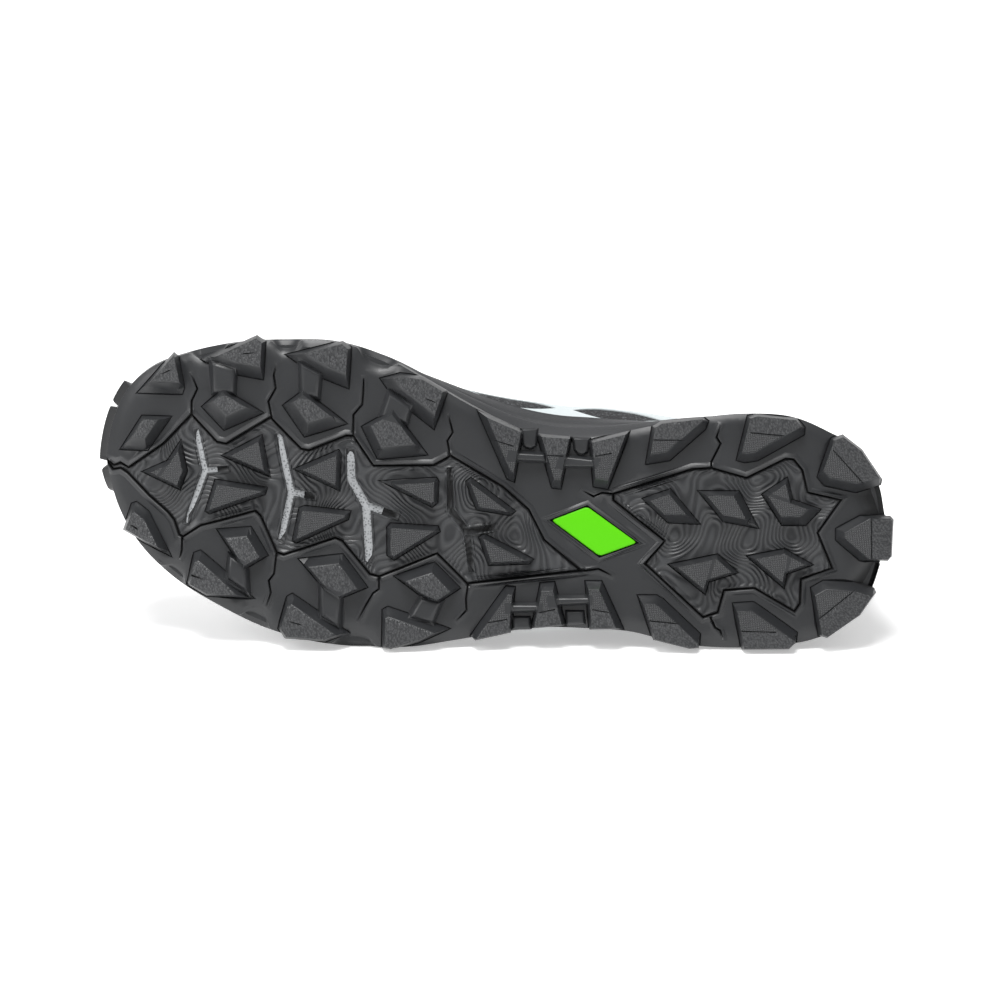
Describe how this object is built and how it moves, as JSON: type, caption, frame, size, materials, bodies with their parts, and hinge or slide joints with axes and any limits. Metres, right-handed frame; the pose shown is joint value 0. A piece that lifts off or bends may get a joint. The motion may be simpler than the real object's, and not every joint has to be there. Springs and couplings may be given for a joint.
{
  "type": "trail running shoe",
  "caption": "Low trail running shoe for the right foot with a lugged rubber outsole, foam midsole, hollow mesh upper, tongue and crossed laces, lying on its side.",
  "frame": {"origin": "on the floor under the middle of the lying shoe's box", "axes": "the shoe lies on its lateral side: toe towards -X, sole towards -Y, medial side towards +Z"},
  "size_m": [0.2992, 0.122, 0.1144],
  "materials": {
    "outsole_rubber": "satin dark charcoal rubber with grained lugs",
    "inlay_rubber": "bright green smooth rubber",
    "midsole_foam": "dark grey moulded foam",
    "upper_mesh": "dark charcoal woven mesh",
    "overlay_film": "light grey fused film",
    "tongue_fabric": "padded dark fabric",
    "insole_foam": "brushed fabric over foam",
    "lace_cord": "flat woven cord"
  },
  "bodies": {
    "root": {"outsole": "outsole_rubber", "outsole_inlay": "inlay_rubber", "midsole": "midsole_foam", "upper": "upper_mesh", "toe_cap": "overlay_film", "heel_counter": "overlay_film", "eyestay": "overlay_film", "tongue": "tongue_fabric", "insole": "insole_foam", "laces": "lace_cord"}
  },
  "joints": []
}
